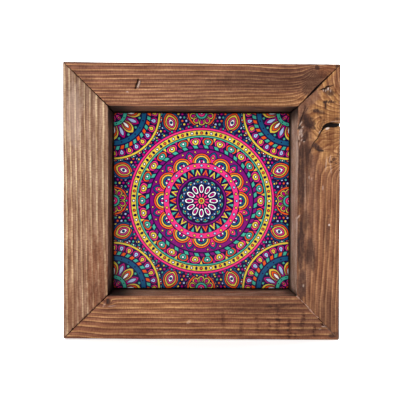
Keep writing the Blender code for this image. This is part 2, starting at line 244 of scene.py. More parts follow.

# Where the stain or the wood differs, and where a few patches paint shade or highlights:
# tint, x, z, half length, half breadth, turn in degrees anticlockwise from level, and
# strength.
PATCHES = {
    "top_rail": (
        ("gold", 60, 196.4, 62, 6.2, 0, 0.50),
        ("umber", 62, 213.4, 60, 10, 0, 0.12),
        ("soaked", 62, 213.4, 60, 10, 0, 0.80),
        ("soaked", 10, 213.4, 62, 9, 0, 0.28),
        ("soaked", 32, 198.0, 50, 8, 0, 0.42),
        ("soaked", -100, 210, 13, 15, 0, 0.35),
        ("umber", 90, 213.4, 9.0, 12, 0, 0.42),
        ("umber", 86.4, 206.0, 5.0, 4.0, 50, 0.6),
        ("rust", 103, 220.9, 9.5, 4.6, 10, 0.75),
        ("gold", 98.8, 222.4, 2.8, 1.0, 5, 0.7),
        ("gold", 103.5, 218.6, 4.0, 1.0, 42, 0.8),
        ("gold", 107.5, 224.0, 3.0, 1.0, 10, 0.6),
        ("umber", 94.1, 223.8, 2.4, 2.0, -60, 0.95),
        ("umber", 98.0, 217.9, 4.4, 1.2, 75, 0.5),
        ("umber", 110.5, 225.0, 1.6, 1.4, 0, 0.95),
        ("cream", -51.7, 210.0, 3.8, 0.5, 73, 0.85),
        ("umber", -50.7, 209.6, 3.4, 0.5, 73, 0.9),
        ("cream", -61.0, 203.4, 0.9, 0.5, 0, 0.6),
    ),
    "bottom_rail": (
        ("rust", -76.5, 31.6, 3.0, 2.4, 80, 1.0),
        ("umber", -76.5, 31.6, 2.5, 1.9, 80, 0.85),
        ("soot_and_shade", -76.8, 31.5, 1.9, 1.0, 78, 0.6),
        ("cream", -79.6, 28.8, 2.4, 0.6, 60, 0.2),
        ("cream", -73.6, 27.8, 3.4, 0.5, 8, 0.18),
        ("chatter", 50, 13.0, 62, 17.0, 0, 0.24),
        ("rust", -60, 11.0, 24, 8.5, 0, 0.25),
        ("chatter", 55.9, 11.4, 6.0, 1.8, 90, 0.9),
        ("chatter", 63.2, 15.0, 13.0, 2.1, 88, 1.0),
        ("chatter", 72.4, 9.4, 10.0, 2.3, 92, 1.0),
        ("chatter", 83.8, 15.6, 8.5, 2.0, 86, 1.0),
        ("chatter", 93.2, 8.4, 5.5, 1.9, 90, 1.0),
        ("chatter", 46.0, 13.0, 9.0, 1.9, 93, 0.85),
        ("chatter", 33.0, 10.0, 8.0, 2.0, 88, 0.75),
        ("chatter", 66.0, 28.0, 14.0, 2.2, 2, 0.8),
        ("chatter", 18.0, 16.0, 9.0, 1.9, 90, 0.65),
        ("chatter", 77.6, 4.6, 3.0, 1.0, 90, 0.8),
        ("chatter", -30, 9.4, 40, 7.0, 0, 0.2),
        ("umber", 62, 28.0, 52, 9, 0, 0.24),
        ("rust", 52, 28.0, 60, 8, 0, 0.36),
        ("soaked", 45, 28.0, 52, 8, 0, 0.30),
        ("soaked", 92, 12.0, 16, 10, 0, 0.5),
        ("soaked", -70, 28.0, 22, 7, 0, 0.2),
        ("gold", -40, 28.4, 34, 7.5, 0, 0.25),
        ("gold", -10.3, 14.8, 3.0, 1.8, 45, 1.0),
        ("cream", -10.3, 14.8, 2.1, 1.1, 45, 0.26),
        ("cream", 97.8, 9.2, 1.2, 0.5, 20, 0.2),
        ("cream", 101.0, 11.2, 1.9, 0.45, -6, 0.45),
        ("umber", 108.0, 3.9, 3.0, 2.0, 0, 0.9),
    ),
    "left_rail": (
        ("mauve", -97, 179.4, 36, 9, 90, 0.25),
        ("cream", -105, 184, 26, 7, 90, 0.2),
        ("soaked", -98, 208, 14, 18, 0, 0.5),
        ("soaked", -86, 140, 46, 8, 90, 0.18),
        ("umber", -86.3, 45.1, 2.4, 1.0, 80, 0.45),
        ("rust", -86, 46, 44, 9.5, 90, 0.78),
        ("rust", -92, 72, 60, 17, 90, 0.30),
        ("rust", -104, 26, 24, 8, 90, 0.55),
        ("gold", -108, 61.4, 60, 4.5, 90, 0.25),
    ),
    "right_rail": (
        ("gold", 106, 180, 30, 20, 90, 1.0),
        ("gold", 103, 216, 11, 3.4, 50, 1.0),
        ("gold", 105, 150, 9, 12, 0, 0.5),
        ("mauve", 90.2, 199.4, 9.0, 5.2, 48, 0.8),
        ("mauve", 82.4, 190.0, 8.0, 4.6, 62, 0.9),
        ("mauve", 84.6, 168.6, 12.0, 5.4, 84, 0.95),
        ("mauve", 80.4, 184.0, 9.0, 2.6, 78, 0.9),
        ("mauve", 88.4, 160.1, 6.0, 3.2, 50, 0.65),
        ("mauve", 85.4, 151.6, 9.0, 7.0, 90, 0.75),
        ("rust", 104.4, 165.0, 9.5, 8.5, 0, 0.40),
        ("rust", 105.6, 170.0, 6.0, 1.6, 2, 0.7),
        ("rust", 106.3, 165.6, 4.4, 0.55, 89, 0.75),
        ("rust", 106.4, 160.5, 6.8, 0.8, 3, 0.85),
        ("rust", 105.8, 157.1, 7.4, 0.9, 2, 0.8),
        ("rust", 99.4, 199.6, 6.0, 1.1, -8, 0.5),
        ("rust", 110.3, 206.0, 2.2, 4.2, 0, 0.6),
        ("rust", 107.4, 181.8, 6.0, 0.8, -2, 0.7),
        ("rust", 97.8, 182.2, 3.4, 0.5, -22, 0.7),
        ("umber", 110.8, 182.2, 2.4, 1.2, 5, 0.7),
        ("umber", 87.2, 179.6, 7.2, 4.8, -50, 1.0),
        ("umber", 84.4, 182.8, 3.4, 2.0, 10, 0.95),
        ("umber", 90.2, 175.8, 3.8, 2.0, -32, 0.85),
        ("umber", 93.6, 188.3, 3.8, 2.0, 0, 1.0),
        ("umber", 98.0, 187.2, 4.2, 1.6, -4, 0.65),
        ("umber", 89.0, 188.4, 3.0, 0.6, 25, 0.5),
        ("umber", 105.2, 195.6, 5.4, 0.8, 0, 0.7),
        ("umber", 101.2, 195.8, 2.2, 1.4, 18, 1.0),
        ("umber", 104.2, 195.8, 1.6, 0.7, 62, 1.0),
        ("umber", 106.0, 196.2, 1.6, 0.7, 60, 1.0),
        ("umber", 108.0, 195.9, 1.3, 0.6, 55, 0.95),
        ("umber", 109.4, 195.5, 0.9, 0.45, 50, 0.8),
        ("umber", 101.4, 192.6, 3.4, 0.85, 92, 1.0),
        ("umber", 104.4, 203.8, 5.0, 3.0, -24, 0.9),
        ("umber", 102.0, 205.8, 3.2, 1.2, 18, 0.7),
        ("umber", 107.4, 202.6, 3.0, 1.0, 35, 0.6),
        ("umber", 86.2, 189.8, 2.6, 0.5, 58, 0.7),
        ("umber", 83.4, 185.6, 2.8, 0.8, 62, 0.7),
        ("umber", 81.6, 181.2, 2.4, 1.0, 58, 0.8),
        ("umber", 85.0, 167.6, 4.2, 2.1, 80, 0.95),
        ("umber", 92.4, 160.6, 2.6, 1.4, 30, 0.8),
        ("umber", 94.6, 158.6, 4.4, 2.6, -38, 1.0),
        ("umber", 97.9, 156.1, 2.8, 1.1, -12, 1.0),
        ("umber", 87.6, 154.4, 4.4, 1.6, 68, 0.9),
        ("umber", 82.0, 153.6, 5.6, 2.2, 84, 0.9),
        ("umber", 86.6, 147.6, 4.6, 1.4, 90, 0.75),
        ("umber", 108.4, 148.8, 1.7, 1.1, 60, 0.9),
        ("umber", 106.5, 146.7, 1.2, 0.9, 0, 0.9),
        ("umber", 110.2, 145.6, 1.1, 0.8, 0, 0.85),
        ("umber", 111.4, 152.6, 3.6, 0.6, 70, 0.5),
        ("soaked", 104.0, 174.0, 17.0, 9.0, 90, 0.24),
        ("soaked", 84.0, 165.0, 30.0, 6.5, 90, 0.50),
        ("soaked", 85.0, 98.0, 10.0, 6.0, 90, 0.30),
        ("soaked", 86.0, 66.0, 12.0, 8.0, 90, 0.22),
        ("soaked", 98.0, 18.0, 22.0, 16.0, 90, 0.26),
        ("umber", 86.4, 148.0, 10.0, 6.0, 90, 0.5),
        ("umber", 81.9, 129.0, 22.0, 3.6, 90, 0.95),
        ("umber", 86.8, 130.0, 17.0, 2.0, 90, 0.6),
        ("umber", 84.6, 98.0, 9.0, 4.4, 90, 0.6),
        ("umber", 84.4, 154.6, 8.5, 5.0, 90, 0.75),
        ("umber", 99.0, 178.6, 4.6, 0.7, 68, 0.55),
        ("umber", 96.6, 184.0, 3.8, 0.6, 128, 0.5),
        ("umber", 81.7, 79.6, 21.0, 3.3, 90, 1.0),
        ("umber", 89.4, 72.4, 13.5, 4.0, 88, 0.85),
        ("umber", 92.2, 62.5, 6.0, 2.4, 80, 0.6),
        ("umber", 82.8, 46.0, 13.0, 3.6, 90, 0.8),
        ("umber", 104.4, 22.0, 22.0, 7.0, 90, 0.24),
        ("umber", 102.6, 88.0, 17.0, 1.7, 90, 0.45),
        ("umber", 104.5, 101.8, 2.0, 0.8, 90, 0.6),
        ("umber", 104.6, 92.6, 3.0, 1.2, 90, 0.6),
        ("umber", 110.0, 4.8, 3.0, 2.2, 30, 0.9),
        ("mauve", 83.5, 47.4, 13.0, 5.0, 84, 0.8),
        ("mauve", 90.0, 120.0, 36.0, 6.5, 90, 0.6),
        ("mauve", 88.0, 78.0, 26.0, 7.0, 90, 0.5),
        ("umber", 80.9, 174.6, 1.7, 1.0, 40, 1.0),
        ("umber", 83.4, 172.0, 1.8, 0.7, 78, 0.8),
        ("umber", 79.6, 163.6, 1.2, 0.7, 70, 0.9),
        ("umber", 83.6, 164.4, 2.0, 0.9, 62, 0.9),
        ("umber", 81.4, 159.4, 1.8, 0.7, 100, 0.8),
        ("cream", 81.2, 178.0, 2.2, 0.5, 60, 0.42),
        ("cream", 82.8, 175.2, 0.9, 0.5, 40, 0.4),
        ("cream", 81.2, 171.0, 3.0, 1.4, 74, 0.24),
        ("cream", 80.3, 171.8, 0.9, 0.5, 60, 0.4),
        ("cream", 81.9, 172.0, 1.2, 0.5, 82, 0.42),
        ("cream", 80.6, 169.2, 1.2, 0.6, 50, 0.42),
        ("cream", 82.0, 169.6, 0.8, 0.5, 110, 0.38),
        ("cream", 82.2, 168.0, 1.5, 0.6, 70, 0.38),
        ("cream", 79.9, 166.6, 1.8, 0.6, 95, 0.40),
        ("cream", 81.9, 164.6, 1.3, 0.5, 60, 0.36),
        ("cream", 80.4, 161.4, 1.5, 0.5, 85, 0.34),
        ("cream", 83.9, 163.2, 0.8, 0.5, 0, 0.45),
        ("cream", 103.1, 174.2, 1.9, 0.9, 25, 0.9),
        # Painted highlight on the upper lip of the wide crack.
        ("cream", 109.2, 179.8, 3.6, 0.3, 3, 0.4),
        ("cream", 103.4, 206.4, 1.4, 0.6, 82, 0.75),
        ("cream", 101.5, 205.2, 1.2, 0.4, 76, 0.5),
        ("cream", 99.6, 205.4, 1.1, 0.4, 84, 0.5),
        ("cream", 105.4, 204.9, 1.2, 0.35, 100, 0.45),
        ("cream", 96.6, 171.2, 1.6, 0.5, 60, 0.4),
        ("gold", 98.9, 151.0, 6.0, 1.0, 76, 0.9),
        ("cream", 102.2, 145.6, 6.4, 0.45, 86, 0.3),
        ("cream", 105.4, 149.6, 3.6, 0.45, 80, 0.3),
        ("cream", 106.0, 141.6, 5.0, 0.45, 95, 0.25),
        ("cream", 85.0, 121.5, 18.0, 0.3, 90, 0.22),
        ("cream", 88.2, 134.0, 1.3, 0.5, 90, 0.3),
        ("cream", 90.4, 132.8, 1.2, 0.5, 90, 0.3),
        ("cream", 99.6, 125.4, 2.0, 0.6, 90, 0.3),
        ("cream", 84.0, 44.9, 1.3, 0.7, 90, 0.35),
        ("cream", 105.0, 95.0, 0.8, 0.7, 0, 0.9),
        ("cream", 79.6, 101.4, 2.6, 0.6, 52, 0.5),
        # Painted highlights along the right rail's inner arris, on the front of its wall.
        ("cream", 78.5, 152.0, 16.0, 0.7, 90, 0.35),
        ("cream", 78.4, 96.0, 5.0, 0.6, 90, 0.3),
        # Painted shade at the top of the right inner wall, under the top rail.
        ("soot_and_shade", 78.0, 189.6, 4.4, 0.9, 90, 0.5),
        ("soot_and_shade", 78.2, 149.5, 5.5, 0.5, 90, 0.22),
        ("soot_and_shade", 78.2, 164.4, 1.3, 0.5, 90, 0.3),
        ("soot_and_shade", 80.0, 175.0, 2.4, 0.7, 58, 0.8),
        ("soot_and_shade", 81.1, 170.5, 1.0, 0.35, 30, 0.5),
        ("soot_and_shade", 82.8, 167.4, 0.9, 0.4, 60, 0.6),
        ("soot_and_shade", 97.4, 156.0, 2.4, 0.7, -8, 0.8),
        ("soot_and_shade", 84.3, 164.2, 1.3, 0.7, 10, 0.85),
        ("soot_and_shade", 101.2, 195.5, 1.5, 0.8, 18, 0.6),
        ("soot_and_shade", 80.6, 128.0, 12.0, 0.7, 90, 0.35),
        ("soot_and_shade", 80.2, 80.0, 12.0, 0.6, 90, 0.3),
    ),
}

# Cracks and slits, as lines of x, z, half breadth and depth.
CRACKS = {
    "top_rail": (((-54.4, 206.0, 0.45, 1.4), (-53.2, 210.2, 0.75, 2.4), (-52.0, 214.4, 0.55, 1.6)),),
    "bottom_rail": (((98.6, 13.6, 0.35, 0.6), (101.0, 12.3, 0.70, 1.5), (103.2, 11.9, 0.35, 0.6)),),
    "right_rail": (
        ((115.0, 177.5, 1.3, 3.0), (112.5, 177.3, 1.4, 3.6), (110.4, 177.2, 1.6, 4.2),
         (108.3, 177.1, 1.8, 5.0), (105.1, 177.0, 1.9, 5.0), (102.4, 176.5, 1.5, 4.5),
         (100.6, 175.6, 1.2, 3.6), (99.8, 174.1, 0.9, 2.4), (98.6, 172.6, 0.5, 1.2),
         (97.0, 169.8, 0.5, 1.0), (94.7, 165.6, 0.5, 0.9), (91.6, 161.9, 0.5, 0.8),
         (89.5, 156.7, 0.45, 0.6), (87.9, 153.0, 0.4, 0.4)),
        ((96.6, 205.5, 0.25, 0.5), (98.8, 206.3, 0.45, 1.4), (100.8, 206.8, 0.60, 1.8),
         (102.3, 208.2, 0.65, 1.8), (105.0, 209.0, 0.50, 1.5), (108.1, 209.7, 0.30, 0.8)),
        ((85.2, 191.8, 0.25, 0.5), (83.7, 188.0, 0.40, 0.8), (82.2, 183.7, 0.45, 0.9),
         (81.2, 180.6, 0.45, 0.9), (80.2, 177.0, 0.55, 1.0), (78.9, 173.6, 0.60, 1.0)),
        ((98.6, 13.6, 0.35, 0.6), (101.0, 12.3, 0.70, 1.3), (103.2, 11.9, 0.35, 0.6)),
    ),
}

# Shallow breaks in the face and its arrises: x, z, half length, half breadth, turn, depth.
BREAKS = {
    "top_rail": ((-62.0, 204.0, 0.9, 0.7, 0, 0.4),),
    "bottom_rail": ((-76.4, 31.6, 2.2, 1.6, 80, 0.5), (-10.3, 14.8, 1.6, 0.8, 45, 0.25)),
    "left_rail": (),
    "right_rail": (
        (79.6, 169.0, 8.0, 3.0, 88, 1.1), (78.4, 101.4, 5.5, 1.8, 86, 1.0),
        (78.4, 58.0, 4.0, 1.3, 90, 0.8), (81.4, 129.4, 28.0, 2.6, 90, 0.30),
        (88.2, 179.4, 7.0, 4.2, -48, 0.40), (95.2, 158.0, 5.6, 2.4, -36, 0.40),
        (94.4, 188.4, 3.8, 1.4, 3, 0.30), (102.9, 174.0, 2.2, 1.0, 22, 0.5),
        (105.0, 95.0, 0.7, 0.7, 0, 0.3),
    ),
}

# Spacing of the mesh across the faces and along the grain, in mm.
FACE_STEP = 0.36
WALL_STEP = 0.9
BACK_STEP = 2.2
PLAIN_STEP = 1.15
CLOSE_STEP = 0.38
END_STEP = 0.30
END_STRETCH = 2.0
ARRIS_STEPS = 4

# Heights of the relief, in mm.
RIDGE = 0.10
PLANING = 0.14
FIBRE = 0.03
WORN_MITRE = 0.35
CLEARANCE = 0.02

# A crack this deep, in mm, looks black.
BLACK_DEPTH = 1.2

# A crack lowers the wood behind it too, less and less, down to this depth in mm.
CUT_REACH = 8.0

# Stains on the face run on to the sides, and fade between these depths in mm.
STAIN_ENDS = (9, 5)

# How dark the painted shade on the inner walls is beside the tile, and how much their
# own tone, stain with painted light and shade, covers the wood at most.
WALL_SHADE = 0.75
WALL_COVER = 0.98

# How deep a mitre's torn edge reaches behind the front.
TORN_DEPTH = 5.0

# How many rings go on beyond the ones given, on each side.
OUTER_LINES = 30

# The rings' waviness, in mm, as amounts in cells along, across and deep.
RING_WAVES = ((0.30, (60, 14, 22)), (0.16, (15, 5, 9)), (0.06, (6, 1.5, 4)))
KNOT_WAVES = ((1.7, (9, 9, 5)), (0.6, (4, 5, 2.2)))

# A knot calms the batten's own rings out to this many times its fall.
CALM_REACH = 1.9

# Half the breadth of a pale line, as a share of a ring.
LINE_SHARE = 0.13

# How many mm of surface the square of the UV map spans, and where the nail hole's lies.
UV_SPAN = 240.0
HOLE_UV = (0.03, 0.84)

# Seeds of the marks' noise.
CRACK_SEED = 67
CRACK_RIM_SEED = 71
BREAK_SEED = 83
PATCH_SEED = 91
FILLING_SEED = 131
DRIFT_SEED = 137

# Hand planing left the battens a little tapered: how far their outer edges come in by
# the narrower end, in mm.
TOP_TAPER_TO_RIGHT = 1.2
BOTTOM_TAPER_TO_LEFT = 0.7
LEFT_TAPER_DOWN = 0.6


def run(start, end, step):
    """Points from one corner up to, and without, the next, about a step apart."""
    start, end = np.array(start, float), np.array(end, float)
    count = max(1, round(float(np.linalg.norm(end - start)) / step))
    return [start + (end - start) * i / count for i in range(count)]


def corner(centre, start_angle):
    """Points of a rounded arris, a quarter turn anticlockwise without its last point."""
    angles = radians(start_angle) + np.arange(ARRIS_STEPS) / ARRIS_STEPS * pi / 2
    return [np.array(centre) + RAIL_ARRIS * np.array((np.cos(a), np.sin(a))) for a in angles]


def batten_section(face):
    """The batten's section as places across and deep, from the outer edge of its front."""
    near = RAIL_ARRIS
    inner_back = face - board_lap
    points = run((near, 0), (face - near, 0), FACE_STEP)
    points += corner((face - near, near), -90)
    points += run((face, near), (face, rabbet_floor), WALL_STEP)
    points += run((face, rabbet_floor), (inner_back, rabbet_floor), BACK_STEP)
    points += run((inner_back, rabbet_floor), (inner_back, rail_depth), BACK_STEP)
    points += run((inner_back, rail_depth), (near, rail_depth), BACK_STEP)
    points += corner((near, rail_depth - near), 90)
    points += run((0, rail_depth - near), (0, near), WALL_STEP)
    points += corner((near, near), 180)
    return np.array(points)


def stations(length, close):
    """Shares of the length from 0 to 1, closer at both mitres and in the close stretches."""
    here = 0.0
    found = []
    while here < length:
        found.append(here)
        step = PLAIN_STEP
        if any(low < here < high for low, high in close):
            step = CLOSE_STEP
        if min(here, length - here) < END_STRETCH:
            step = END_STEP
        here += step
    found.append(length)
    return np.array(found) / length


def in_frame(rail, along, across, deep):
    """Where places on a batten lie in the frame."""
    x = outer_high[0] - across
    z = outer_low[2] + along
    if rail == "left_rail":
        x = outer_low[0] + across
    if rail in ("top_rail", "bottom_rail"):
        x = outer_low[0] + along
        z = outer_high[2] - across if rail == "top_rail" else outer_low[2] + across
    rightward = (x - outer_low[0]) / width
    upward = (z - outer_low[2]) / height
    above = np.clip((z - outer_high[2]) / top_face + 1, 0, 1)
    below = np.clip((outer_low[2] - z) / bottom_face + 1, 0, 1)
    left_over = np.clip((outer_low[0] - x) / left_face + 1, 0, 1)
    z = z - TOP_TAPER_TO_RIGHT * above * rightward + BOTTOM_TAPER_TO_LEFT * below * (1 - rightward)
    x = x + LEFT_TAPER_DOWN * left_over * (1 - upward)
    return np.stack((x, outer_low[1] + deep, z), axis=1)


def ragged(places, amount, seed):
    """A wobble that roughens the rim of a mark."""
    return amount * (noise(places, (2.2, 4, 2.2), seed) + 0.5 * noise(places, (0.9, 2, 0.9), seed + 1))


def from_oval(places, x, z, half_length, half_breadth, turn):
    """How far places in the frame lie from an oval's middle, 1 at its rim."""
    dx, dz = places[:, 0] - x, places[:, 2] - z
    angle = radians(turn)
    along = dx * np.cos(angle) + dz * np.sin(angle)
    aside = dz * np.cos(angle) - dx * np.sin(angle)
    return np.hypot(along / half_length, aside / half_breadth)


def from_line(places, x0, z0, x1, z1):
    """How far along a line places lie, from 0 to 1, and how far away from it in mm."""
    step_x, step_z = x1 - x0, z1 - z0
    share = (places[:, 0] - x0) * step_x + (places[:, 2] - z0) * step_z
    share = np.clip(share / (step_x ** 2 + step_z ** 2), 0, 1)
    return share, np.hypot(places[:, 0] - x0 - share * step_x, places[:, 2] - z0 - share * step_z)


def crack_depth(rail, places):
    """How deep the cracks of a batten go at each place on its front."""
    deepest = np.zeros(len(places))
    shaken = places + 0.45 * noise(places, (2.4, 4, 2.4), CRACK_SEED)[:, None]
    for path in CRACKS.get(rail, ()):
        for (x0, z0, half0, deep0), (x1, z1, half1, deep1) in zip(path, path[1:]):
            share, away = from_line(shaken, x0, z0, x1, z1)
            half = (half0 + (half1 - half0) * share) * (1 + ragged(places, 0.34, CRACK_RIM_SEED))
            profile = np.clip(1 - (away / half) ** 4, 0, 1) ** 0.5
            deepest = np.maximum(deepest, (deep0 + (deep1 - deep0) * share) * profile)
    return deepest


def break_depth(rail, places):
    """How deep the shallow breaks of a batten go at each place on its front."""
    deepest = np.zeros(len(places))
    for *place, depth in BREAKS[rail]:
        reach = from_oval(places, *place) + ragged(places, 0.25, BREAK_SEED)
        deepest = np.maximum(deepest, depth * (1 - smooth(0.55, 1.05, reach)))
    return deepest


def patches(rail, tint, places):
    """How strongly the patches of one tint cover each place, from 0 to 1."""
    cover = np.zeros(len(places))
    for number, (patch_tint, *place, strength) in enumerate(PATCHES[rail]):
        if patch_tint == tint:
            reach = from_oval(places, *place) + ragged(places, 0.24, PATCH_SEED + number)
            cover = np.maximum(cover, strength * (1 - smooth(0.62, 1.22, reach)))
    return cover


def grain(rail, along, across, deep):
    """The ring count at each place: whole numbers are pale lines of late wood."""
    spec = RAILS[rail]
    places = in_frame(rail, along, across, deep)
    timber = np.stack((along, across, deep), axis=1)
    seed = spec["seed"]
    bent = across + spec["lean"] * deep
    for number, (amount, cell) in enumerate(RING_WAVES):
        bent = bent + amount * noise(timber, cell, seed + number)
    wrapped = np.zeros(len(along))
    for x0, z0, x1, z1, rings, fall, calm in KNOTS.get(rail, ()):
        away = from_line(places, x0, z0, x1, z1)[1]
        bent = bent + (spec["face"] / 2 - bent) * calm * np.exp(-(away / (CALM_REACH * fall)) ** 2)
        for number, (amount, cell) in enumerate(KNOT_WAVES, len(RING_WAVES)):
            away = away + amount * noise(places, cell, seed + number)
        wrapped += rings * np.exp(-np.maximum(away, 0) / fall)
    counts = []
    for _, lines in spec["rings"]:
        spread = float(np.mean(np.diff(lines)))
        before = lines[0] - spread * np.arange(OUTER_LINES, 0, -1)
        after = lines[-1] + spread * np.arange(1, OUTER_LINES + 1)
        every = np.concatenate((before, lines, after))
        counts.append(np.interp(bent, every, np.arange(len(every))))
    stops = [station for station, _ in spec["rings"]]
    order = np.interp(along, stops, np.arange(len(stops)))
    low = np.minimum(order.astype(int), len(stops) - 2)
    counts = np.array(counts)
    each = np.arange(len(along))
    count = counts[low, each] + (counts[low + 1, each] - counts[low, each]) * (order - low)
    return (count + wrapped) * spec["side"]


def ridge(count):
    """1 on a line of late wood, 0 between two lines."""
    part = count - np.round(count)
    return np.exp(-(part / LINE_SHARE) ** 2)


def torn_mitre(rail, high, across, deep, count):
    """How far the front edge of a mitre is worn or torn back from the joint."""
    timber = np.stack((across, deep, across * 0), axis=1)
    back = 0.20 + 0.10 * noise(timber, (1.7, 9, 9), RAILS[rail]["seed"] + 8 + high)
    if high and rail in ("top_rail", "right_rail"):
        back = back + 1.0 * np.exp(-((across - 20.0) / 7.5) ** 2)
    if not high and rail == "left_rail":
        back = back + 1.2 * (count - np.floor(count)) ** 2 * smooth(2, 8, across)
    if (rail, high) in (("top_rail", 0), ("left_rail", 1)):
        back = back + 0.25 * smooth(22, 34, across)
    return np.clip(back, 0, 2) * np.clip(1 - deep / TORN_DEPTH, 0, 1)


def loft(name, rings, uvs=None):
    """A closed skin through rings of points, with both ends capped. uvs are the places of
    its columns, of its rows, and of the points of its two caps."""
    rows, columns = rings.shape[:2]
    grid = np.arange(rows * columns).reshape(rows, columns)
    here, there = grid[:-1], grid[1:]
    quads = np.stack((here, np.roll(here, -1, 1), np.roll(there, -1, 1), there), axis=-1)
    points = rings.reshape(-1, 3)
    middle = points.mean(axis=0)
    a, b, c, d = (points[quads.reshape(-1, 4)[:, i]] - middle for i in range(4))
    inside_out = np.sum(a * np.cross(b, c)) + np.sum(a * np.cross(c, d)) < 0
    faces = quads.reshape(-1, 4).tolist() + [grid[0][::-1].tolist(), grid[-1].tolist()]
    if inside_out:
        faces = [face[::-1] for face in faces]
    mesh = bpy.data.meshes.new(name)
    mesh.from_pydata((points * MM).tolist(), [], faces)
    if uvs is not None:
        layer = mesh.uv_layers.new(name="OFBake")
        around, lengthwise, caps = uvs
        flat = []
        for row in range(rows - 1):
            for column in range(columns):
                low, high = around[column], around[column + 1]
                start, end = lengthwise[row], lengthwise[row + 1]
                quad = [(start, low), (start, high), (end, high), (end, low)]
                flat += quad[::-1] if inside_out else quad
        for cap in caps:
            flat += cap[::-1] if inside_out else cap
        layer.uv.foreach_set("vector", np.array(flat, dtype=np.float32).ravel())
    piece = bpy.data.objects.new(name, mesh)
    bpy.context.scene.collection.objects.link(piece)
    return piece


def give(mesh, name, values):
    """Store one number, or one vector, for each point of a mesh."""
    vector = values.ndim == 2
    attribute = mesh.attributes.new(name, "FLOAT_VECTOR" if vector else "FLOAT", "POINT")
    attribute.data.foreach_set("vector" if vector else "value", values.astype(np.float32).ravel())


def make_batten(rail):
    """One batten with its rings in low relief, its cracks, and its marks and painted shade stored by point.
    """
    spec = RAILS[rail]
    face, length, seed = spec["face"], spec["length"], spec["seed"]
    section = batten_section(face)
    tangent = np.roll(section, -1, axis=0) - np.roll(section, 1, axis=0)
    tangent /= np.linalg.norm(tangent, axis=1)[:, None]
    outward = np.stack((tangent[:, 1], -tangent[:, 0]), axis=1)
    ends = []
    for high, neighbour in enumerate(spec["neighbours"]):
        slope = neighbour / face
        reach = section[:, 0] * slope + MITRE_GAP / 2 * np.hypot(1, slope)
        nominal = length - reach if high else reach
        count = grain(rail, nominal, section[:, 0], section[:, 1])
        reach = reach + torn_mitre(rail, high, section[:, 0], section[:, 1], count)
        ends.append(length - reach if high else reach)
    shares = stations(length, spec["close"])
    rows, columns = len(shares), len(section)
    across = np.tile(section[:, 0], rows)
    deep = np.tile(section[:, 1], rows)
    low_end, high_end = np.tile(ends[0], rows), np.tile(ends[1], rows)
    along = low_end + (high_end - low_end) * np.repeat(shares, columns)

    places = in_frame(rail, along, across, deep)
    timber = np.stack((along, across, deep), axis=1)
    count = grain(rail, along, across, deep)
    sunk = CLEARANCE + RIDGE * (1 - ridge(count))
    sunk += PLANING * (0.5 + 0.5 * noise(timber, (34, 12, 12), seed + 5))
    sunk += FIBRE * (1 + noise(timber, (9, 0.6, 0.6), seed + 6))
    sunk += WORN_MITRE * np.exp(-(np.minimum(along - low_end, high_end - along) / 0.5) ** 2)
    push = np.tile(outward, (rows, 1)) * sunk[:, None]
    cracks = crack_depth(rail, places)
    cut = np.maximum(cracks, break_depth(rail, places))
    deep_now = deep - push[:, 1]
    deep_now = deep_now + cut * np.clip(1 - deep_now / CUT_REACH, 0, 1)
    corners = in_frame(rail, along, across - push[:, 0], deep_now)

    around = np.linalg.norm(np.diff(np.vstack((section, section[:1])), axis=0), axis=1)
    around = np.concatenate(([0], np.cumsum(around))) / UV_SPAN
    lengthwise = shares * length / UV_SPAN
    spare = around[-1] + 0.02
    caps = [[(shift + u / UV_SPAN, spare + v / UV_SPAN) for u, v in section[::way]]
            for shift, way in ((0.02, -1), (0.5, 1))]
    piece = loft(rail + "_surface", corners.reshape(rows, columns, 3), (around, lengthwise, caps))
    mesh = piece.data
    mesh.shade_smooth()
    mesh.set_sharp_from_angle(angle=radians(50))

    on_face = smooth(2.2, 0.2, deep)
    inner_wall = smooth(face - 0.9, face - 0.1, across)
    for tint in ("gold", *TINTS):
        give(mesh, tint, patches(rail, tint, places) * smooth(*STAIN_ENDS, deep))
    give(mesh, "timber", timber)
    give(mesh, "ring", count)
    give(mesh, "wall", WALL_COVER * inner_wall * smooth(0.2, 0.9, deep))
    # Painted shade on the outer arris and the sides just behind it.
    give(mesh, "rim", spec["rim"] * smooth(1.3, 0.5, across) * smooth(6, 2, deep))
    # How black the cracks look where they are deep.
    cracks_and_shade = np.clip(cracks / BLACK_DEPTH, 0, 1) * smooth(9, 6, deep) * np.maximum(on_face, 0.2)
    # Painted shade on the inner walls, darker towards the tile, and a painted shadow along each wall near
    # its mitres.
    shaded = WALL_SHADE * smooth(rabbet_floor - 12, rabbet_floor - 5, deep)
    for (spread, dark), distance in zip(spec["corners"], (along - low_end, high_end - along)):
        shaded = np.maximum(shaded, dark * smooth(spread, 0.2 * spread, distance))
    give(mesh, "cracks_and_shade", np.maximum(cracks_and_shade, inner_wall * shaded))
    return piece


# What the tints are. Gold, the resinous wood round a knot, has rings in three tones.
# The soot tint also paints the black of deep cracks and the painted shade of the inner walls.
TINTS = {
    "mauve": "#83604F", "rust": "#7E4A2A", "umber": "#482C21",
    "cream": "#CDB6A8", "soot_and_shade": "#1C120E", "chatter": "#875F48", "soaked": "#AA9E98",
}
GOLD_TONES = ("#90603A", "#B18450", "#CC9F6B")


